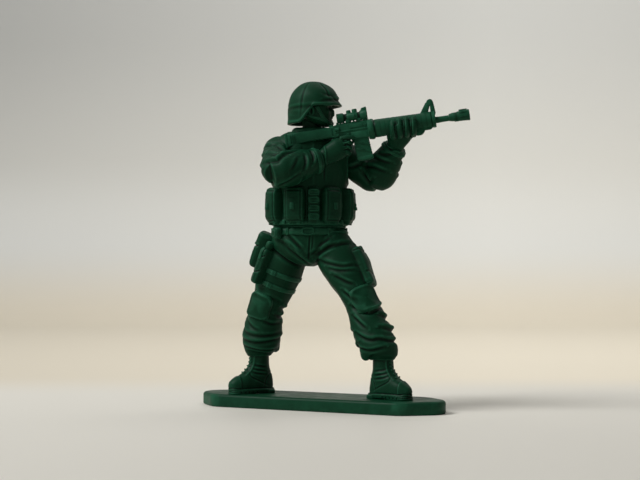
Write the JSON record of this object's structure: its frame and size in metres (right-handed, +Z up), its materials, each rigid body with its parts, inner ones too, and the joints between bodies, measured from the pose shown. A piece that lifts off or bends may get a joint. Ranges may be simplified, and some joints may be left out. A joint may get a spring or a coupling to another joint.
{
  "type": "toy soldier figure",
  "caption": "Dark green plastic toy soldier that stands astride on an oblong base and aims a rifle, with a turning waist and a turning head.",
  "frame": {"origin": "centre of the base's underside", "axes": "+X along the base towards the muzzle side, -Y the side that the figure's front shows, +Z up"},
  "size_m": [0.0487, 0.0191, 0.0555],
  "materials": {
    "green_plastic": "moulded polyethylene, satin"
  },
  "bodies": {
    "lower_body": {"base": "green_plastic", "right_boot": "green_plastic", "left_boot": "green_plastic", "right_leg": "green_plastic", "left_leg": "green_plastic", "hips": "green_plastic", "trouser_belt": "green_plastic", "right_knee_pad": "green_plastic", "left_knee_pad": "green_plastic", "thigh_holster": "green_plastic", "holster_pouch": "green_plastic", "upper_thigh_strap": "green_plastic", "lower_thigh_strap": "green_plastic"},
    "upper_body": {"torso": "green_plastic", "vest_front": "green_plastic", "vest_back": "green_plastic", "pouch_right_side": "green_plastic", "pouch_front_right": "green_plastic", "vest_buckle_strip": "green_plastic", "pouch_front_left": "green_plastic", "pouch_left_side": "green_plastic", "right_arm": "green_plastic", "right_hand": "green_plastic", "left_arm": "green_plastic", "left_hand": "green_plastic", "rifle_body": "green_plastic", "rifle_magazine": "green_plastic", "rifle_optic": "green_plastic"},
    "head_unit": {"head": "green_plastic", "helmet": "green_plastic", "chin_strap": "green_plastic"}
  },
  "joints": [
    {"name": "waist_turn", "type": "hinge", "parent": "lower_body", "child": "upper_body", "pos_m": [-0.0016, -0.0008, 0.031], "axis": [0, 0, 1], "range_deg": [-45, 45]},
    {"name": "head_turn", "type": "hinge", "parent": "upper_body", "child": "head_unit", "pos_m": [-0.0004, -0.0022, 0.0468], "axis": [0, 0, 1], "range_deg": [-50, 50]}
  ]
}
